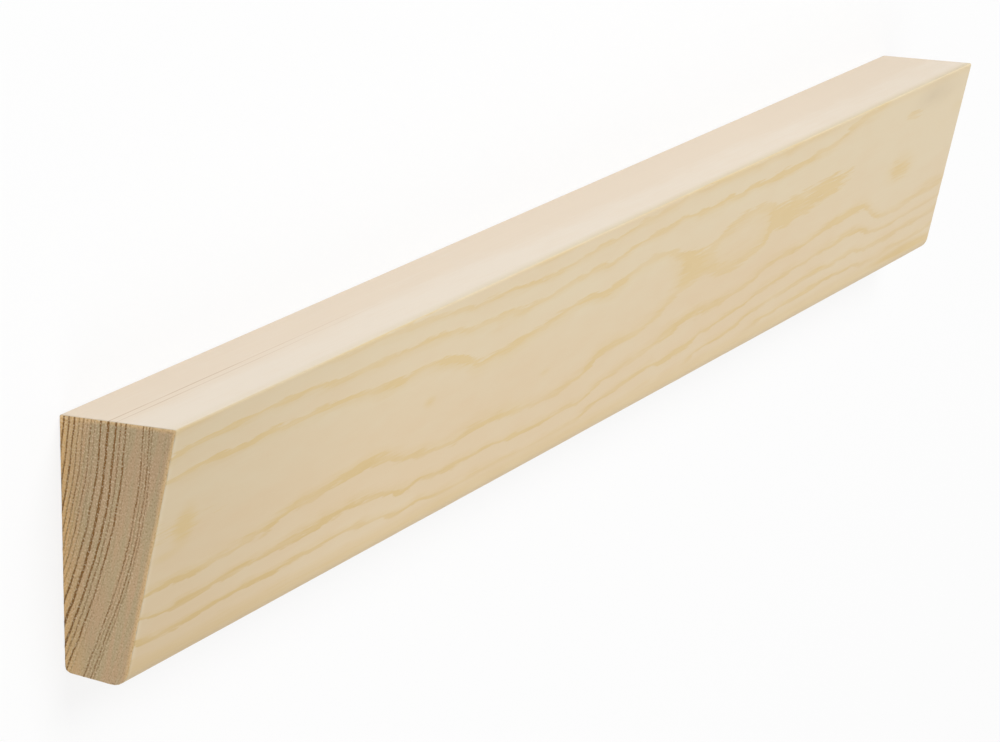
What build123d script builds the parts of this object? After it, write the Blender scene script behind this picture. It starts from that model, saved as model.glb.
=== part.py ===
from build123d import *
import os
from math import cos, radians, sin, tan

# Ceiling moulding: one straight stick of planed pine with the same wedge section from end to end.
# It lies on its back, the flat face that goes against a wall.
# X runs along the stick, +Y points at the wide edge that meets the ceiling,
# and +Z points out of the wall, at the sloping face that shows in the room.
# The origin is the middle of the back, under the middle of the outline.

# Driving dimensions, in millimetres and degrees.
LENGTH = 350.0  # sawn length of this stick, square at both ends
HEIGHT = 43.0  # from the ceiling edge down to the lowest point of the toe
PROJECTION = 21.0  # how far the ceiling edge stands out from the wall
FACE_SLOPE = 13.0  # lean of the sloping face from the wall
LOWER_CANT = 6.0  # rise of the lower edge from the toe back to the wall
TOE_RADIUS = 3.0  # rounding where the sloping face meets the lower edge
HEEL_RADIUS = 1.2  # rounding where the lower edge meets the back
ARRIS_RADIUS = 0.4  # easing that the planer leaves on both corners of the ceiling edge


def wedge_section():
    """The section, drawn with its first axis towards the ceiling and its second out of the wall."""
    slope, cant = radians(FACE_SLOPE), radians(LOWER_CANT)
    ceiling, lowest = HEIGHT / 2, -HEIGHT / 2
    back_corner = Vector(ceiling, 0)
    # This corner is drawn a little far out, so that its easing ends at the full projection.
    face_corner = Vector(ceiling, PROJECTION + ARRIS_RADIUS * (tan(slope) + 1 / cos(slope) - 1))

    # The toe is an arc that touches the sloping face, the lower edge and the lowest level.
    toe_level = lowest + TOE_RADIUS
    face_at_toe = face_corner.Y - (ceiling - toe_level) * tan(slope)
    toe_centre = Vector(toe_level, face_at_toe - TOE_RADIUS / cos(slope))
    face_end = toe_centre + Vector(-sin(slope), cos(slope)) * TOE_RADIUS
    toe_end = toe_centre + Vector(-cos(cant), -sin(cant)) * TOE_RADIUS
    heel = Vector(toe_end.X + toe_end.Y * tan(cant), 0)

    outline = Polyline(heel, back_corner, face_corner, face_end)
    outline += TangentArc(face_end, toe_end, tangent=face_end - face_corner)
    outline += Line(toe_end, heel)
    section = make_face(outline)

    def corner(point):
        return section.vertices().sort_by_distance(point)[0]

    section = fillet(corner(heel), HEEL_RADIUS)
    return fillet([corner(back_corner), corner(face_corner)], ARRIS_RADIUS)


def ceiling_moulding():
    """The section carried along the stick, half its length to each side of the origin."""
    return extrude(Plane.YZ * wedge_section(), amount=LENGTH / 2, both=True)


os.makedirs("parts", exist_ok=True)
export_step(ceiling_moulding(), "parts/ceiling_moulding.step")
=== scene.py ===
from math import cos, pi, radians, sin, tan

import bmesh
import bpy
from mathutils import Matrix, Vector


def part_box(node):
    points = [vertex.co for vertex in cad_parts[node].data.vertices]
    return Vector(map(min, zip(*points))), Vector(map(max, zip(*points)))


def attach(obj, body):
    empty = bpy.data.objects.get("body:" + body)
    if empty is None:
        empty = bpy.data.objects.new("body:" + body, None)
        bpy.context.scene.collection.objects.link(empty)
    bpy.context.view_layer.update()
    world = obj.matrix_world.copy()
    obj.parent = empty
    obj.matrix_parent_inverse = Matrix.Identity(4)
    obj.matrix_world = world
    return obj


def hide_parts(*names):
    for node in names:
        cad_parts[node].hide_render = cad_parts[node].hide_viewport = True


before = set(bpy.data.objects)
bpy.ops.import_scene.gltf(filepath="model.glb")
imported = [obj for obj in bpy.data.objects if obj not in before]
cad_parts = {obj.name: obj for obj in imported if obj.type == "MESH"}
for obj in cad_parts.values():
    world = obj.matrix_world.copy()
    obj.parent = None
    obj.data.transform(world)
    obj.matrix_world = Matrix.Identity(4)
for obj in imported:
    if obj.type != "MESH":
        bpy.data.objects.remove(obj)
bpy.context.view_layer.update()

NODE = "ceiling_moulding"
PIECE = "pine_moulding"
LOW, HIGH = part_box(NODE)

# Lengths are in metres. In the sections on the grain, its noises and the two finishes, a length without MM
# is in millimetres.
MM = 0.001

# The stick. Its length, height and projection come from the frame.
HALF = (HIGH.x - LOW.x) / 2
CEILING = HIGH.y
FACE_SLOPE = radians(13)
LOWER_CANT = radians(6)
TOE_RADIUS = 3 * MM
HEEL_RADIUS = 1.2 * MM
ARRIS_RADIUS = 0.4 * MM
SAWN_EASE = 0.22 * MM
# Where the sloping face would meet the ceiling edge if their corner weren't eased.
CORNER_OUT = HIGH.z + ARRIS_RADIUS * (tan(FACE_SLOPE) + 1 / cos(FACE_SLOPE) - 1)

# Steps in the rounding of a long corner and of a sawn edge.
CORNER_STEPS, SAWN_STEPS = 6, 2
# Spacing of the cuts that give the mesh its fine faces.
CUT_ACROSS = 0.25 * MM
CUT_ALONG = 5 * MM
CUT_BY_END = (0.35 * MM, 0.7 * MM, 1.4 * MM)
SAME_PLACE = 0.001 * MM

# The grain is read on the sloping face: along from the near end, up from the ceiling edge and out of the face.
# Across the face a ring bows in from its middle, and far from there it runs straight. What waves the rings
# near the face fades with depth.
GRAIN_BOW_DEPTH, GRAIN_BOW_WIDTH = 5, 21
GRAIN_MIDDLE = -17
GRAIN_DEEP, GRAIN_DEEP_SHARE = -7, 0.2
# Where the rings touch the face, along the stick.
GRAIN_CENTRE = (
    (0, -18.3), (34, -18.2), (52, -17.2), (77, -18), (98, -20.1), (119, -22.3), (155, -21.8), (170, -19.8),
    (193, -18.3), (213, -17.6), (231, -16.9), (250, -15.8), (272, -14.8), (290, -14), (305, -16), (318, -19),
    (350, -17),
)
# How much higher they run by the ceiling edge and by the toe, and how far up the face each of these starts and
# is full.
GRAIN_CALM_START, GRAIN_CALM_FULL = -12, -6
GRAIN_CALM = (
    (0, -2), (9, -1.1), (21, -0.8), (37, -0.8), (49, -1.6), (64, -1.6), (74, -0.8), (90, -0.9), (105, 0.3),
    (117, 1.8), (127, 1), (138, 0), (150, -0.1), (161, 0.3), (175, -0.2), (188, -0.8), (198, 1), (213, 1.1),
    (225, -0.7), (237, -1.1), (252, -0.4), (268, -0.4), (282, 1.7), (296, 3.6), (306, 8), (318, 11), (350, 10),
)
GRAIN_TOE_START, GRAIN_TOE_FULL = -28, -34
GRAIN_TOE = (
    (0, 1.6), (12, 0.3), (30, 0.6), (46, -1), (70, -1.2), (84, -1.3), (92, -0.9), (104, 0.7), (130, 0.7),
    (157, 0.9), (165, -0.9), (175, -0.4), (190, -0.2), (200, -2), (211, -2.5), (219, -0.8), (230, -0.2),
    (262, 0), (282, -0.6), (293, -1.1), (301, -0.5), (307, 1), (315, 3), (325, 3.2), (350, 2.5),
)
# Which ring the face touches there.
GRAIN_LEVEL = (
    (0, 0.02), (16, 0.04), (34, 0.12), (52, 0.27), (66, 0.38), (77, 0.46), (84, 0.37), (96, 0.25), (107, 0.35),
    (119, 0.5), (134, 0.38), (155, 0.22), (168, 0.5), (180, 0.4), (189, 0.45), (205, 0.87), (213, 0.91),
    (217, 0.85), (224, 0.7), (231, 0.66), (239, 0.7), (245, 0.85), (249, 0.93), (270, 0.95), (278, 0.97),
    (286, 1.02), (294, 1.1), (308, 1.1), (318, 0.97), (328, 1.1), (350, 1.15),
)
# How far jogs and fibres shift the rings near the face, and waves those behind it.
GRAIN_JOG, GRAIN_FIBRE, GRAIN_WAVE = 1.2, 0.09, 0.3
# The wide rings by the face: their size, and where they fade out inwards.
GRAIN_RING = 0.63
GRAIN_RING_FADE = (-0.95, -0.45)
# As shares of a ring: where the first one starts, where the latewood ends and how soft that end is, and how
# wide the latewood is on the sawn ends and in the relief.
RING_START, LATEWOOD_END, LATEWOOD_EDGE = 0.05, 0.89, 0.07
RING_WIDE = 0.3
# The share of a latewood band that is fully dark.
LATEWOOD_DARK = 0.35
# The older rings, each one line: how far in and how dark. A line's width grows with its darkness.
GRAIN_LINES = (
    (-18.8, 0.6), (-17.85, 0.6), (-16.85, 0.65), (-15.95, 0.45), (-15.15, 0.45), (-14.5, 0.2), (-13.8, 0.45),
    (-13.05, 0.25), (-11.95, 0.65), (-10.6, 1), (-9.25, 0.8), (-8.4, 0.45), (-7.45, 0.65), (-6.7, 0.15),
    (-4.25, 0.5), (-3.7, 0.25), (-3.05, 0.5), (-2.55, 0.35),
)
GRAIN_LINE_LEAST, GRAIN_LINE_MORE = 0.18, 0.27
LINE_EDGE = 0.4

# The noises of the wood: the sizes of their features along, up and out, how much finer they go, and a seed.
NOISE_STEP = (61.7, 37.3, 23.9)
JOG_NOISE = ((9, 1.8, 1.8), 3, 3)
FIBRE_NOISE = ((8, 0.5, 0.5), 3, 8)
WAVE_NOISE = ((90, 7, 4), 1, 11)
DRIFT_NOISE = ((60, 14, 14), 2, 1)
MOTTLE_NOISE = ((10, 3, 3), 2, 13)
STREAK_NOISE = ((14, 0.35, 0.35), 3, 2)
BOLD_NOISE = ((22, 2.6, 4), 2, 5)
TEAR_NOISE = ((0.6, 0.55, 0.4), 2, 6)
FUZZ_NOISE = ((0.6, 0.5, 0.35), 3, 4)
BEND_NOISE = ((9, 3.5, 1.5), 2, 14)
PATCH_NOISE = ((9, 6, 5), 2, 7)
BAND_NOISE = ((9, 14, 1), 2, 9)
BREAK_NOISE = ((9, 4, 0.6), 2, 15)
SPECK_NOISE = ((0.6, 0.34, 0.26), 1, 17)
CHIP_NOISE = ((4, 1.3, 1.3), 3, 16)

# The sockets of a Mix node that mixes colours.
MIX_SHARE, MIX_ONE, MIX_OTHER = 0, 6, 7
MIX_RESULT = 2


class Value:
    """A socket of a node tree, on which plain arithmetic adds Math nodes."""

    def __init__(self, nodes, socket):
        self.nodes = nodes
        self.socket = socket

    def math(self, operation, *values):
        return self.nodes.add("ShaderNodeMath", dict(enumerate(values)), operation=operation)

    def __add__(self, other):
        return self.math("ADD", self, other)

    def __radd__(self, other):
        return self.math("ADD", other, self)

    def __sub__(self, other):
        return self.math("SUBTRACT", self, other)

    def __rsub__(self, other):
        return self.math("SUBTRACT", other, self)

    def __mul__(self, other):
        return self.math("MULTIPLY", self, other)

    def __rmul__(self, other):
        return self.math("MULTIPLY", other, self)

    def __truediv__(self, other):
        return self.math("DIVIDE", self, other)

    def __pow__(self, other):
        return self.math("POWER", self, other)

    def __abs__(self):
        return self.math("ABSOLUTE", self)

    def least(self, other):
        return self.math("MINIMUM", self, other)

    def fraction(self):
        return self.math("FRACT", self)

    def rise(self, start, end):
        """0 up to start and 1 from end on, with a soft climb between them."""
        places = {"Value": self, "From Min": start, "From Max": end}
        return self.nodes.add("ShaderNodeMapRange", places, interpolation_type="SMOOTHSTEP")

    def fall(self, start, end):
        """1 up to start and 0 from end on."""
        return 1 - self.rise(start, end)

    def between(self, start, end, low, high):
        """low at start and high at end, on a straight line that stops at both."""
        places = {"Value": self, "From Min": start, "From Max": end, "To Min": low, "To Max": high}
        return self.nodes.add("ShaderNodeMapRange", places)

    def latewood(self, width, edge):
        """A band that darkens through the first part of width, stays dark up to 0 and ends within edge."""
        return self.rise(0 - width, -LATEWOOD_DARK * width) * self.fall(0, edge)


class Nodes:
    """A node tree. Its add method makes any node from its type, its settings and its inputs."""

    def __init__(self, tree):
        self.tree = tree

    def add(self, kind, inputs=None, output=0, **settings):
        node = self.tree.nodes.new(kind)
        for name, setting in settings.items():
            if name == "points":
                self.bend(node.mapping, setting)
            else:
                setattr(node, name, setting)
        for key, value in (inputs or {}).items():
            if isinstance(value, Value):
                self.tree.links.new(value.socket, node.inputs[key])
            else:
                node.inputs[key].default_value = value
        return Value(self, node.outputs[output]) if node.outputs else node

    def bend(self, mapping, points):
        """Lays a curve node's line through points, the first and last of which it has already."""
        line = mapping.curves[0].points
        for x, y in points[1:-1]:
            line.new(x, y)
        for point, place in zip(line, points):
            point.location = place
        mapping.update()

    def curve(self, value, points):
        """A smooth curve through points of (value, result)."""
        first, last = points[0][0], points[-1][0]
        low = min(y for x, y in points)
        high = max(y for x, y in points)
        unit = [((x - first) / (last - first), (y - low) / (high - low)) for x, y in points]
        share = (value - first) / (last - first)
        bent = self.add("ShaderNodeFloatCurve", {"Value": share}, points=unit)
        return low + (high - low) * bent

    def split(self, vector):
        """The three numbers of a vector."""
        parts = self.add("ShaderNodeSeparateXYZ", {"Vector": vector}).socket.node
        return [Value(self, socket) for socket in parts.outputs]

    def noise(self, vector, sizes, detail, seed):
        """Smooth noise from -1 to 1 with features of those sizes. Each seed is another part of one noise."""
        shares = [1 / size for size in sizes]
        start = [seed * step for step in NOISE_STEP]
        shrunk = self.add("ShaderNodeVectorMath", {0: vector, 1: shares, 2: start}, operation="MULTIPLY_ADD")
        return self.add("ShaderNodeTexNoise", {"Vector": shrunk, "Scale": 1.0, "Detail": detail}) * 2 - 1

    def colour(self, share, one, other, blend="MIX"):
        """One colour at share 0 and the other at share 1, or for MULTIPLY one tinted by the other."""
        sockets = {MIX_SHARE: share, MIX_ONE: one, MIX_OTHER: other}
        return self.add("ShaderNodeMix", sockets, output=MIX_RESULT, data_type="RGBA", blend_type=blend)


def on_the_face(nodes, place):
    """The place in millimetres, read on the sloping face: along the stick, up the face and out of it."""
    corner = (-HALF, CEILING, CORNER_OUT)
    moved = nodes.add("ShaderNodeVectorMath", {0: place, 1: corner}, operation="SUBTRACT")
    turn = {"Vector": moved, "Angle": -FACE_SLOPE}
    turned = nodes.add("ShaderNodeVectorRotate", turn, rotation_type="X_AXIS")
    return nodes.add("ShaderNodeVectorMath", {0: turned, "Scale": 1 / MM}, operation="SCALE")


def from_edge(y, z, out):
    """How far in a point of an end lies from the ceiling edge, the back and the face, in millimetres."""
    return ((CEILING - y).least(z) / MM).least(0 - out)


def growth(nodes, grain):
    """How far out a point lies through the rings, in millimetres from the ring that the face first touches."""
    along, up, out = nodes.split(grain)
    near = out.between(GRAIN_DEEP, 0, GRAIN_DEEP_SHARE, 1)
    jogs = GRAIN_JOG * nodes.noise(grain, *JOG_NOISE)
    fibres = GRAIN_FIBRE * nodes.noise(grain, *FIBRE_NOISE)
    waves = GRAIN_WAVE * nodes.noise(grain, *WAVE_NOISE)
    calm = nodes.curve(along, GRAIN_CALM) * up.rise(GRAIN_CALM_START, GRAIN_CALM_FULL)
    calm = calm + nodes.curve(along, GRAIN_TOE) * up.fall(GRAIN_TOE_FULL, GRAIN_TOE_START)
    centre = GRAIN_MIDDLE + (nodes.curve(along, GRAIN_CENTRE) + calm + jogs - GRAIN_MIDDLE) * near
    across = (up - centre) / GRAIN_BOW_WIDTH
    bow = ((across * across + 1) ** 0.5 - 1) * GRAIN_BOW_DEPTH
    level = nodes.curve(along, GRAIN_LEVEL) * GRAIN_RING
    return out + bow + (level + fibres) * near + waves * (1 - near)


def wide_rings(depth, width):
    """Soft bands of latewood, for the wide rings near the face. Their width is a share of the ring."""
    ring = (depth / GRAIN_RING - RING_START).fraction() - LATEWOOD_END
    return ring.latewood(width, LATEWOOD_EDGE) * depth.rise(*GRAIN_RING_FADE)


def ring_lines(depth, slim=1.0):
    """The older rings, each as one line."""
    lines = 0
    for place, strength in GRAIN_LINES:
        width = slim * (GRAIN_LINE_LEAST + GRAIN_LINE_MORE * strength)
        lines = strength * (depth - place).latewood(width, LINE_EDGE * width) + lines
    return lines


def spot(nodes, grain, along, up, half_length, half_height):
    """1 in the middle of a long soft spot on the face and 0 outside it."""
    offset = nodes.add("ShaderNodeVectorMath", {0: grain, 1: (along, up, 0)}, operation="SUBTRACT")
    shares = (1 / half_length, 1 / half_height, 0)
    scaled = nodes.add("ShaderNodeVectorMath", {0: offset, 1: shares}, operation="MULTIPLY")
    return nodes.add("ShaderNodeVectorMath", {0: scaled}, output="Value", operation="LENGTH").fall(0, 1)


def spots(nodes, grain, places):
    """Several such spots, each as strong as its last number says."""
    return sum(strength * spot(nodes, grain, *place) for *place, strength in places)


def shader(name):
    """A new material, with its nodes and its surface shader."""
    material = bpy.data.materials.new(name)
    material.use_nodes = True
    return material, Nodes(material.node_tree), material.node_tree.nodes["Principled BSDF"]


def join(nodes, surface, **links):
    """Feeds the surface shader's sockets, whose names are given with _ for a space."""
    for name, value in links.items():
        nodes.tree.links.new(value.socket, surface.inputs[name.replace("_", " ")])


# The finish of the planed sides. Pairs are where something starts and is full, and fours are the same with its
# strength at both places.
# Golden flecks on the face, and where its rings are boldest: along, up, half length, half height and strength.
GRAIN_FLECKS = (
    (9.2, -18.7, 5, 5.4, 0.75), (4.5, -22.8, 6, 1.3, 0.4), (94, -18.5, 3.4, 1.6, 0.5),
    (143, -24.6, 3.4, 1.2, 0.35), (318, -18.5, 12, 5, 0.36), (348, -9.3, 7, 2, 0.15),
    (334, -40.6, 26, 1.8, 0.6), (341, -26, 9, 1.4, 0.25),
)
GRAIN_BOLD = (
    (10, -28.8, 11, 2.6, 0.6), (25, -9.5, 11, 3, 0.25), (42, -26.2, 10, 3, 0.55), (58, -10, 14, 3, 0.4),
    (70, -25, 16, 3, 0.35), (78, -11.5, 10, 3, 0.4), (103, -12.8, 15, 4, 0.35), (166, -12.8, 16, 4, 0.4),
    (165, -27.5, 9, 3, 0.45), (30, -37, 28, 2.4, 0.65), (62, -31.7, 18, 2.4, 0.45), (88, -34, 14, 3, 0.3),
    (140, -35.8, 16, 2.4, 0.3), (206, -16.5, 12, 7, 0.4), (250, -16.5, 13, 6, 0.6), (275, -14.5, 18, 5, 0.4),
    (209, -29.7, 14, 2.4, 0.45), (208, -36.2, 13, 2.6, 0.6), (288, -24, 18, 3.4, 0.7), (245, -6, 26, 3, 0.6),
)
# What belongs to the ceiling edge, by height on the stick, and what belongs to the face, by depth.
CEILING_BAND = (CEILING - 0.15 * MM, CEILING - 0.03 * MM)
FACE_SKIN = (-4, -2)
# How strong the rings are: at least, by chance, and by the far end, the toe and the ceiling corner.
RING_LEAST, RING_CHANCE = 0.37, 0.35
RING_CHANCE_RANGE = (-0.6, 0.6)
RING_FAR_FADE = (300, 325, 1, 0.7)
RING_TOE_FADE = (-40.5, -38.5)
RING_CORNER_FADE = (-3, -1, 1, 0.6)
# How wide they are, as a share of a ring, how much the core, the halo and the older lines count, how wide the
# halo is, and how much slimmer the older lines are than on a sawn end.
RING_WIDTH, RING_WIDTH_OUT, RING_WIDTH_CHANCE = 0.15, 0.06, 0.08
RING_CORE, RING_HALO, RING_OLDER = 0.65, 0.35, 0.7
HALO_LEAST, HALO_SHARE = 0.2, 1.3
PLANED_LINE_SLIM = 0.5
# Gold along the ceiling corner, gold and painted shade on the toe's rounding, the streaks that break it up,
# and how strongly all of it shows.
CORNER_GOLD = (150, 220, 0, 0.15)
CORNER_BAND, CORNER_EASED, CORNER_PALER = (-2.6, -1), (-0.6, -0.2), 0.6
TOE_BAND, TOE_GOLD_AND_SHADE = (-41.5, -38.8), 0.35
GOLD_STREAKS, GOLD_SHOWN = 0.4, 1.4
# The wood between the rings: pale, and with more blush towards the toe and less by the far end.
PALE = (0.723, 0.598, 0.402, 1)
BLUSH = (0.716, 0.556, 0.352, 1)
BLUSH_LEAST, BLUSH_LOW, BLUSH_FAR, BLUSH_DRIFT, BLUSH_MOTTLE = 0.25, 0.6, 0.4, 0.5, 0.5
BLUSH_LOW_BAND, BLUSH_FAR_BAND = (-30, -8), (230, 340)
# A painted highlight on the face along the near end's arris: a paler band standing in for light caught there.
ARRIS_HIGHLIGHT_COLOUR = (0.78, 0.68, 0.5, 1)
ARRIS_HIGHLIGHT_BAND, ARRIS_HIGHLIGHT_SHARE = (0.3, 1.6), 0.35
# The ceiling edge: warmer towards the back and the far end, with painted shade along its corner with the face,
# standing in for a softly rounded corner.
EDGE_PALE = (0.765, 0.67, 0.55, 1)
EDGE_WARM = (0.745, 0.625, 0.485, 1)
WARM_BACK_BAND, WARM_FAR_BAND, WARM_FAR = (-13, -6), (120, 200), 0.3
WARM_DRIFT, WARM_MOTTLE, WARM_STREAKS = 4, 0.5, 0.4
CORNER_SHADE_TINT = (0.86, 0.835, 0.68, 1)
CORNER_SHADE_BAND, CORNER_SHADE_ALONG = (-2.6, 0.3), (20, 150, 0.4, 1)
# The rings' colour: gold, and amber low on the face by the near end.
GOLD = (0.692, 0.516, 0.249, 1)
AMBER = (0.65, 0.464, 0.197, 1)
AMBER_LOW_BAND, AMBER_ALONG = (-32, -20), (70, 130, 1, 0.4)
AMBER_MOTTLE, AMBER_DRIFT = 0.6, 0.4
# Painted shade on the face by the near end, where the light falls off, a darker far end of the ceiling edge,
# and a grey smudge on the face.
NEAR_SHADE_FAR_DARK = (0.88, 0.87, 0.84, 1)
NEAR_SHADE_BAND, FAR_DARK_BAND, FAR_DARK = (-10, 95), (240, 320), 0.25
SMUDGE = (0.9, 0.885, 0.87, 1)
SMUDGE_LEAST, SMUDGE_MOTTLE = 0.75, 0.6
GRAIN_SMUDGE = (331, -3.7, 19, 5)
# The two thin brown lines on the ceiling edge, which lie between two depths and fade along it.
LINE_BROWN = (0.47, 0.3, 0.16, 1)
THIN_OUTER, THIN_INNER, THIN_ALONG = (-9, -8.8), (-11.4, -11.2), (10, 110)
THIN_LEAST, THIN_STREAKS = 0.6, 0.8
# Fine bump and gloss.
PLANED_BUMP = {"Strength": 0.12, "Distance": 0.05 * MM}
BUMP_GOLD, BUMP_STREAKS = 0.6, 0.5
PLANED_ROUGHNESS, ROUGHER_STREAKS, SMOOTHER_GOLD = 0.52, 0.06, 0.08


def golden_rings(nodes, grain, depth, lines, mottle, skin):
    """How golden the wood is: its rings, bolder in places, and the flecks of the face."""
    along, up = nodes.split(grain)[:2]
    bold = spots(nodes, grain, GRAIN_BOLD) * skin
    strength = RING_LEAST + RING_CHANCE * nodes.noise(grain, *BOLD_NOISE).rise(*RING_CHANCE_RANGE) + bold
    strength = strength * along.between(*RING_FAR_FADE)
    strength = strength * up.rise(*RING_TOE_FADE) * up.between(*RING_CORNER_FADE)
    width = RING_WIDTH + RING_WIDTH_OUT * depth + RING_WIDTH_CHANCE * mottle
    core = wide_rings(depth, width)
    halo = wide_rings(depth, HALO_LEAST + HALO_SHARE * width)
    rings = RING_CORE * core + RING_HALO * halo + RING_OLDER * lines
    return rings * strength + spots(nodes, grain, GRAIN_FLECKS) * skin


def planed_pine():
    """The four planed sides: pale wood with soft golden rings, whiter on the ceiling edge."""
    material, nodes, surface = shader("planed pine")
    place = nodes.add("ShaderNodeTexCoord", output="Object")
    grain = on_the_face(nodes, place)
    along, up, out = nodes.split(grain)
    depth = growth(nodes, grain)
    lines = ring_lines(depth, PLANED_LINE_SLIM)
    drift = nodes.noise(grain, *DRIFT_NOISE)
    mottle = nodes.noise(grain, *MOTTLE_NOISE)
    streaks = nodes.noise(grain, *STREAK_NOISE)
    ceiling = nodes.split(place)[1].rise(*CEILING_BAND)
    below = 1 - ceiling
    skin = out.rise(*FACE_SKIN)

    corner = up.rise(*CORNER_BAND) * (1 - CORNER_PALER * up.rise(*CORNER_EASED))
    corner = corner * skin * along.between(*CORNER_GOLD)
    # The toe's rounding gets a deeper gold. This is partly the wood's colour and partly painted shade,
    # standing in for the shading the floor's bounce light takes away.
    toe = TOE_GOLD_AND_SHADE * up.fall(*TOE_BAND) * skin
    gold = golden_rings(nodes, grain, depth, lines, mottle, skin) + toe
    gold = (gold * (1 + GOLD_STREAKS * streaks) + corner) * below

    blush = BLUSH_LEAST + BLUSH_LOW * up.fall(*BLUSH_LOW_BAND) - BLUSH_FAR * along.rise(*BLUSH_FAR_BAND)
    wood = nodes.colour(blush + BLUSH_DRIFT * drift + BLUSH_MOTTLE * mottle, PALE, BLUSH)
    # Painted highlight: the face turns paler along the near end's arris.
    wood = nodes.colour(ARRIS_HIGHLIGHT_SHARE * along.fall(*ARRIS_HIGHLIGHT_BAND), wood, ARRIS_HIGHLIGHT_COLOUR)
    warm = (out + WARM_DRIFT * drift).fall(*WARM_BACK_BAND) + WARM_FAR * along.rise(*WARM_FAR_BAND)
    edge = nodes.colour(warm + WARM_MOTTLE * mottle + WARM_STREAKS * streaks, EDGE_PALE, EDGE_WARM)
    wood = nodes.colour(ceiling, wood, edge)
    amber = up.fall(*AMBER_LOW_BAND) * along.between(*AMBER_ALONG)
    ring = nodes.colour(amber + AMBER_MOTTLE * mottle + AMBER_DRIFT * drift, GOLD, AMBER)
    wood = nodes.colour(GOLD_SHOWN * gold, wood, ring)

    # Painted shade: the face darkens towards the near end, standing in for the light falling off there. The
    # ceiling edge also darkens by its far end.
    shade_and_dark = along.fall(*NEAR_SHADE_BAND) * below + FAR_DARK * along.rise(*FAR_DARK_BAND) * ceiling
    wood = nodes.colour(shade_and_dark, wood, NEAR_SHADE_FAR_DARK, "MULTIPLY")
    smudge = spot(nodes, grain, *GRAIN_SMUDGE) * skin * below
    wood = nodes.colour(smudge * (SMUDGE_LEAST + SMUDGE_MOTTLE * mottle), wood, SMUDGE, "MULTIPLY")
    # Painted shade along the ceiling edge's corner with the face.
    corner_shade_share = ceiling * out.rise(*CORNER_SHADE_BAND) * along.between(*CORNER_SHADE_ALONG)
    wood = nodes.colour(corner_shade_share, wood, CORNER_SHADE_TINT, "MULTIPLY")
    thin = ceiling * lines * depth.fall(*THIN_OUTER) * depth.rise(*THIN_INNER) * along.fall(*THIN_ALONG)
    wood = nodes.colour(thin * (THIN_LEAST + THIN_STREAKS * streaks), wood, LINE_BROWN)

    bump = nodes.add("ShaderNodeBump", {"Height": BUMP_GOLD * gold + BUMP_STREAKS * streaks, **PLANED_BUMP})
    roughness = PLANED_ROUGHNESS + ROUGHER_STREAKS * streaks - SMOOTHER_GOLD * gold
    join(nodes, surface, Base_Color=wood, Roughness=roughness, Normal=bump)
    return material


# The finish of the sawn ends. Pairs are where something starts and is full, in millimetres or of a noise.
# How far the saw's fuzz and slow bends shift the rings.
END_FUZZ, END_BEND = 0.07, 0.14
# The base, in bands of two colours, duskier towards the ceiling.
END_OLIVE = (0.588, 0.45, 0.258, 1)
END_PINK = (0.646, 0.445, 0.258, 1)
END_BAND_RANGE, END_BAND_PATCHES = (-0.4, 0.4), 0.5
END_DUSK = (0.9, 0.9, 0.91, 1)
END_DUSK_BAND = (-28, -6)
# Golden wood in the oldest rings and low by the back. There is also a bright golden band along the back,
# partly the wood's colour and partly painted light that lifts the floor's contact shadow there.
END_GOLD = (0.95, 0.62, 0.27, 1)
BACK_GOLD_AND_LIGHT_WIDTH, BACK_LEAST, BACK_BREAKS, BACK_SHOWN = 1.8 * MM, 0.85, 0.8, 0.8
OLD_BAND, OLD_GOLD = (-18, -13), 0.5
LOW_BACK_BAND, LOW_BAND, LOW_GOLD = (1.5 * MM, 5 * MM), (-26, -10), 0.4
# The warm rim along the end's edges. It is partly the fuzzed edge's colour and partly a painted highlight of
# the eased arris catching light.
END_RIM_AND_HIGHLIGHT = (0.86, 0.58, 0.28, 1)
RIM_START, RIM_WIDTH, RIM_CHANCE, RIM_SHOWN = 0.2, 1, 0.4, 0.7
# Brown rings and pits.
END_BROWN = (0.26, 0.125, 0.03, 1)
END_LINES, END_RINGS, END_BREAKS, END_LINE_FUZZ = 1.4, 0.1, 0.6, 0.4
PIT_RANGE, PIT_SHOWN = (-0.55, -0.05), 0.45
# Pale flecks of torn fibre, more of them where the rings stand close.
END_FLECK = (0.87, 0.72, 0.5, 1)
FLECK_RANGE, FLECK_LEAST, FLECK_CLOSE = (0, 0.5), 0.3, 0.35
CLOSE_INNER, CLOSE_START, CLOSE_END = (-7.2, -6.2), (-5, -4.5), (-2.3, -1.9)
SAWN_BUMP = {"Strength": 0.4, "Distance": 0.06 * MM}
SAWN_ROUGHNESS = 0.85


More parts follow.
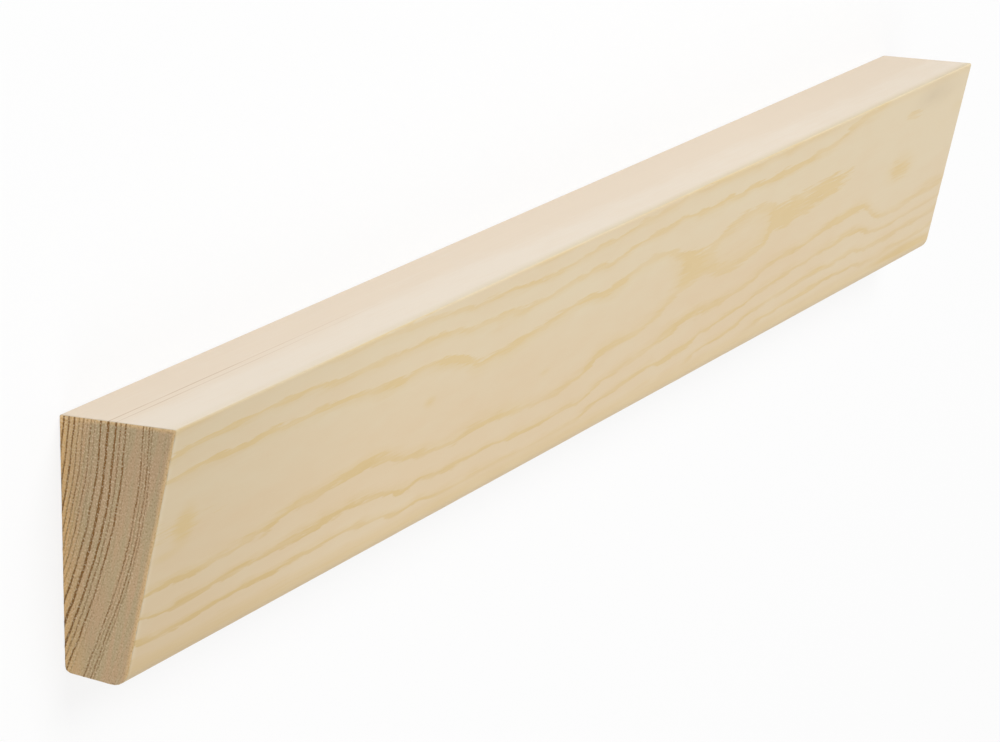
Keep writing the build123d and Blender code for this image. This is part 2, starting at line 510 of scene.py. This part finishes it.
def sawn_pine():
    """The two sawn ends: darker, with every ring as a brown line and flecks of torn fibre."""
    material, nodes, surface = shader("sawn pine")
    place = nodes.add("ShaderNodeTexCoord", output="Object")
    grain = on_the_face(nodes, place)
    up, out = nodes.split(grain)[1:]
    y, z = nodes.split(place)[1:]
    fuzz = nodes.noise(grain, *FUZZ_NOISE)
    bends = nodes.noise(grain, *BEND_NOISE)
    patches = nodes.noise(grain, *PATCH_NOISE)
    bands = nodes.noise(grain, *BAND_NOISE)
    breaks = nodes.noise(grain, *BREAK_NOISE)
    tears = nodes.noise(grain, *TEAR_NOISE)
    specks = nodes.noise(grain, *SPECK_NOISE)
    depth = growth(nodes, grain) + END_FUZZ * fuzz + END_BEND * bends

    lines = END_LINES * ring_lines(depth) + END_RINGS * wide_rings(depth, RING_WIDE)
    lines = lines * (1 + END_BREAKS * breaks) * (1 + END_LINE_FUZZ * fuzz)
    close = depth.fall(*CLOSE_INNER) + depth.rise(*CLOSE_START) * depth.fall(*CLOSE_END)
    rim_and_highlight = from_edge(y, z, out).fall(RIM_START, RIM_WIDTH + RIM_CHANCE * patches)
    # Along the back the end is painted a bright gold, partly standing in for light where the floor's shadow
    # darkens it.
    back = z.fall(0, BACK_GOLD_AND_LIGHT_WIDTH) * (BACK_LEAST + BACK_BREAKS * breaks) + OLD_GOLD * depth.fall(*OLD_BAND)
    back = back + LOW_GOLD * z.fall(*LOW_BACK_BAND) * up.fall(*LOW_BAND)

    wood = nodes.colour((bands + END_BAND_PATCHES * patches).rise(*END_BAND_RANGE), END_OLIVE, END_PINK)
    wood = nodes.colour(up.rise(*END_DUSK_BAND), wood, END_DUSK, "MULTIPLY")
    wood = nodes.colour(BACK_SHOWN * back, wood, END_GOLD)
    # Partly a painted highlight: the end turns lighter and warmer along its edges.
    wood = nodes.colour(RIM_SHOWN * rim_and_highlight, wood, END_RIM_AND_HIGHLIGHT)
    wood = nodes.colour(lines + PIT_SHOWN * specks.fall(*PIT_RANGE), wood, END_BROWN)
    flecks = specks.rise(*FLECK_RANGE) * (FLECK_LEAST + FLECK_CLOSE * close)
    wood = nodes.colour(flecks, wood, END_FLECK)

    bump = nodes.add("ShaderNodeBump", {"Height": tears + fuzz, **SAWN_BUMP})
    join(nodes, surface, Base_Color=wood, Normal=bump)
    surface.inputs["Roughness"].default_value = SAWN_ROUGHNESS
    return material


# Relief of the wood, which only sinks below the stick's true size: the least all over, the hollows between the
# rings of a planed side, and the hollows, the torn fibres and the crumbled edge of a sawn end.
SKIN = 0.004 * MM
PLANED_HOLLOW = 0.02 * MM
SAWN_HOLLOW = 0.04 * MM
SAWN_TEAR = 0.09 * MM
SAWN_CRUMBLE = 0.16 * MM
# How wide the crumbled edge is, in millimetres, and between which values of a noise chips and tears change.
CRUMBLE_WIDTH = 0.6
CHIP_RANGE, TEAR_RANGE = (-0.1, 0.6), (-0.6, 0.2)


def wood_relief():
    """Geometry nodes that sink the wood: hollows between the rings, torn fibres and crumbled sawn edges."""
    tree = bpy.data.node_groups.new("wood relief", "GeometryNodeTree")
    tree.interface.new_socket("Geometry", in_out="INPUT", socket_type="NodeSocketGeometry")
    tree.interface.new_socket("Geometry", in_out="OUTPUT", socket_type="NodeSocketGeometry")
    nodes = Nodes(tree)
    smooth = nodes.add("NodeGroupInput")
    place = nodes.add("GeometryNodeInputPosition")
    normal = nodes.add("GeometryNodeInputNormal")
    grain = on_the_face(nodes, place)
    out = nodes.split(grain)[2]
    x, y, z = nodes.split(place)
    depth = growth(nodes, grain)
    rings = ring_lines(depth) + wide_rings(depth, RING_WIDE)
    sawn = abs(x).rise(HALF - SAWN_EASE, HALF - SAWN_EASE / 2)
    hollow = (1 - rings.least(1)) * (SAWN_HOLLOW * sawn + PLANED_HOLLOW * (1 - sawn))
    torn = SAWN_TEAR * nodes.noise(grain, *TEAR_NOISE).fall(*TEAR_RANGE) * sawn
    chips = nodes.noise(grain, *CHIP_NOISE).rise(*CHIP_RANGE)
    crumbled = SAWN_CRUMBLE * from_edge(y, z, out).fall(0, CRUMBLE_WIDTH) * chips * sawn
    sink = hollow + torn + crumbled + SKIN
    offset = nodes.add("ShaderNodeVectorMath", {0: normal, "Scale": 0 - sink}, operation="SCALE")
    sunk = nodes.add("GeometryNodeSetPosition", {"Geometry": smooth, "Offset": offset})
    nodes.add("NodeGroupOutput", {0: sunk})
    return tree


def section_corners():
    """The section's four corners before they are eased, with each one's rounding and inner angle."""
    toe_level = LOW.y + TOE_RADIUS
    toe_out = CORNER_OUT - (CEILING - toe_level) * tan(FACE_SLOPE) - TOE_RADIUS / cos(FACE_SLOPE)
    toe_out -= TOE_RADIUS * sin(LOWER_CANT)
    heel = toe_level - TOE_RADIUS * cos(LOWER_CANT) + toe_out * tan(LOWER_CANT)
    toe = CORNER_OUT - (CEILING - heel) * tan(FACE_SLOPE)
    toe /= 1 + tan(FACE_SLOPE) * tan(LOWER_CANT)
    square = pi / 2
    return (
        ((CEILING, 0), ARRIS_RADIUS, square),
        ((CEILING, CORNER_OUT), ARRIS_RADIUS, square - FACE_SLOPE),
        ((heel - toe * tan(LOWER_CANT), toe), TOE_RADIUS, square + FACE_SLOPE - LOWER_CANT),
        ((heel, 0), HEEL_RADIUS, square + LOWER_CANT),
    )


def long_edge(mesh, corner):
    """The edge that runs along the stick at that corner of the section."""
    def distance(edge):
        middle = (edge.verts[0].co + edge.verts[1].co) / 2
        return (middle - Vector((0, *corner))).length
    return min(mesh.edges, key=distance)


def ease(mesh, edges, offset, segments):
    """Rounds the edges off."""
    bmesh.ops.bevel(mesh, geom=edges, offset=offset, offset_type="OFFSET", segments=segments,
                    profile=0.5, affect="EDGES", material=-1)


def slice_at(mesh, axis, places):
    """Cuts the mesh by planes across axis, and keeps both sides of each."""
    for place in places:
        whole = mesh.verts[:] + mesh.edges[:] + mesh.faces[:]
        bmesh.ops.bisect_plane(mesh, geom=whole, dist=SAME_PLACE, plane_co=axis * place, plane_no=axis)


def steps(start, end, spacing):
    """Even places between start and end, about spacing apart."""
    count = round((end - start) / spacing)
    return [start + (end - start) * k / count for k in range(1, count)]


def stick():
    """The stick as a mesh: its section carried along it, its corners eased, cut into fine faces."""
    mesh = bmesh.new()
    corners = section_corners()
    section = mesh.faces.new([mesh.verts.new((-HALF, *corner)) for corner, radius, angle in corners])
    carried = bmesh.ops.extrude_face_region(mesh, geom=[section], use_keep_orig=True)["geom"]
    moved = [part for part in carried if isinstance(part, bmesh.types.BMVert)]
    bmesh.ops.translate(mesh, verts=moved, vec=(2 * HALF, 0, 0))

    for corner, radius, angle in corners:
        ease(mesh, [long_edge(mesh, corner)], radius / tan(angle / 2), CORNER_STEPS)
    bmesh.ops.recalc_face_normals(mesh, faces=mesh.faces[:])
    rims = [edge for edge in mesh.edges if abs(edge.verts[0].co.x - edge.verts[1].co.x) < SAME_PLACE]
    ease(mesh, rims, SAWN_EASE, SAWN_STEPS)

    along, up, out = Matrix.Identity(3)
    slice_at(mesh, up, steps(LOW.y, HIGH.y, CUT_ACROSS))
    slice_at(mesh, out, steps(LOW.z, HIGH.z, CUT_ACROSS))
    slice_at(mesh, along, [side * (HALF - inset) for side in (-1, 1) for inset in CUT_BY_END])
    slice_at(mesh, along, steps(-HALF, HALF, CUT_ALONG))
    return mesh


# The map for baking. Each side has a full strip of it and the two ends share the rest: the way the side faces,
# the axes that run across and up the map, and its room there.
MAP_NAME = "OFBake"
MAP_ROOM = (
    ((0, 0, 1), 0, 1, (0.01, 0.99), (0.70, 0.99)),
    ((0, 0, -1), 0, 1, (0.01, 0.99), (0.50, 0.69)),
    ((0, 1, 0), 0, 2, (0.01, 0.99), (0.37, 0.49)),
    ((0, -1, 0), 0, 2, (0.01, 0.99), (0.31, 0.36)),
    ((-1, 0, 0), 1, 2, (0.01, 0.49), (0.01, 0.30)),
    ((1, 0, 0), 1, 2, (0.51, 0.99), (0.01, 0.30)),
)
# A face is sawn where it points along the stick at least this much.
SAWN_FACING = 0.9


def lay_out(mesh):
    """Lays every face out on the map, with the side that it faces most."""
    layer = mesh.loops.layers.uv.new(MAP_NAME)

    def spread(place, axis, room):
        share = (place[axis] - LOW[axis]) / (HIGH[axis] - LOW[axis])
        return room[0] + (room[1] - room[0]) * share

    for face in mesh.faces:
        side = max(MAP_ROOM, key=lambda room: face.normal.dot(Vector(room[0])))
        across, upward, wide, tall = side[1:]
        for loop in face.loops:
            place = loop.vert.co
            loop[layer].uv = (spread(place, across, wide), spread(place, upward, tall))


def ceiling_moulding():
    """The whole piece, planed on its four sides and sawn at both ends."""
    mesh = stick()
    lay_out(mesh)
    for face in mesh.faces:
        face.smooth = True
        face.material_index = int(abs(face.normal.x) > SAWN_FACING)
    data = bpy.data.meshes.new(PIECE)
    mesh.to_mesh(data)
    mesh.free()
    for material in (planed_pine(), sawn_pine()):
        data.materials.append(material)
    piece = bpy.data.objects.new(PIECE, data)
    bpy.context.scene.collection.objects.link(piece)
    piece.modifiers.new("wood relief", "NODES").node_group = wood_relief()
    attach(piece, "root")
    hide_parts(NODE)


# The studio: the floor, how much of it takes shadow, the sky's light on the stick, and the lamps with their
# place, size and watts.
WHITE = (1, 1, 1, 1)
FLOOR_SIZE = 12
FLOOR_WHITE = (0.9, 0.9, 0.9, 1)
FLOOR_ROUGHNESS = 1.0
SHADOW_SHARE = 0.2
SKY_LIGHT = 0.45
KEY_LAMP = ((0.15, 0.95, 1.1), 1.0, 13)
FILL_LAMP = ((-0.4, -0.8, 1.2), 1.2, 5)
SEEN_RAYS = ("Is Camera Ray", "Is Glossy Ray", "Is Transmission Ray")


def seen_directly(nodes):
    """1 for what the camera sees, straight or in gloss and glass, and 0 for the light that falls on things."""
    path = nodes.add("ShaderNodeLightPath").socket.node
    return sum(Value(nodes, path.outputs[name]) for name in SEEN_RAYS).least(1)


def floor():
    """A plain pale floor. The camera sees most of it as white, and the rest takes the stick's shadow."""
    mesh = bmesh.new()
    bmesh.ops.create_grid(mesh, x_segments=1, y_segments=1, size=FLOOR_SIZE / 2)
    data = bpy.data.meshes.new("floor")
    mesh.to_mesh(data)
    mesh.free()
    material, nodes, surface = shader("pale floor")
    surface.inputs["Base Color"].default_value = FLOOR_WHITE
    surface.inputs["Roughness"].default_value = FLOOR_ROUGHNESS
    glow = nodes.add("ShaderNodeEmission", {"Color": WHITE, "Strength": 1.0})
    plain = Value(nodes, surface.outputs[0])
    white = seen_directly(nodes) * (1 - SHADOW_SHARE)
    mixed = nodes.add("ShaderNodeMixShader", {0: white, 1: plain, 2: glow})
    nodes.tree.links.new(mixed.socket, nodes.tree.nodes["Material Output"].inputs["Surface"])
    data.materials.append(material)
    ground = bpy.data.objects.new("floor", data)
    bpy.context.scene.collection.objects.link(ground)


def soft_light(name, place, size, watts):
    """A round lamp that points at the origin and doesn't show itself."""
    lamp = bpy.data.lights.new(name, "AREA")
    lamp.shape = "DISK"
    lamp.size = size
    lamp.energy = watts
    light = bpy.data.objects.new(name, lamp)
    light.location = place
    light.rotation_euler = (-Vector(place)).to_track_quat("-Z", "Y").to_euler()
    light.visible_camera = False
    bpy.context.scene.collection.objects.link(light)


def studio():
    """Soft light from above the ceiling edge, a weaker one from the toe's side, and an even white sky."""
    soft_light("key", *KEY_LAMP)
    soft_light("fill", *FILL_LAMP)
    world = bpy.data.worlds.new("white studio")
    world.use_nodes = True
    nodes = Nodes(world.node_tree)
    back = world.node_tree.nodes["Background"]
    strength = seen_directly(nodes).between(0, 1, SKY_LIGHT, 1)
    nodes.tree.links.new(strength.socket, back.inputs["Strength"])
    back.inputs["Color"].default_value = WHITE
    bpy.context.scene.world = world


CAMERA_PLACE = (-0.7563, 0.2017, 0.3604)
CAMERA_RIGHT = (0.4397, 0.0027, 0.8982)
CAMERA_UP = (0.2202, 0.9691, -0.1107)
CAMERA_LENS = 163.0


def camera():
    """Looks down on the stick from beyond its near end, turned so that the ceiling edge is uppermost."""
    lens = bpy.data.cameras.new("camera")
    lens.lens = CAMERA_LENS
    seat = bpy.data.objects.new("camera", lens)
    right = Vector(CAMERA_RIGHT).normalized()
    back = right.cross(Vector(CAMERA_UP)).normalized()
    turned = Matrix((right, back.cross(right), back)).transposed()
    seat.matrix_world = Matrix.Translation(CAMERA_PLACE) @ turned.to_4x4()
    bpy.context.scene.collection.objects.link(seat)
    bpy.context.scene.camera = seat


ceiling_moulding()
floor()
studio()
camera()
bpy.context.scene.view_settings.view_transform = "Standard"
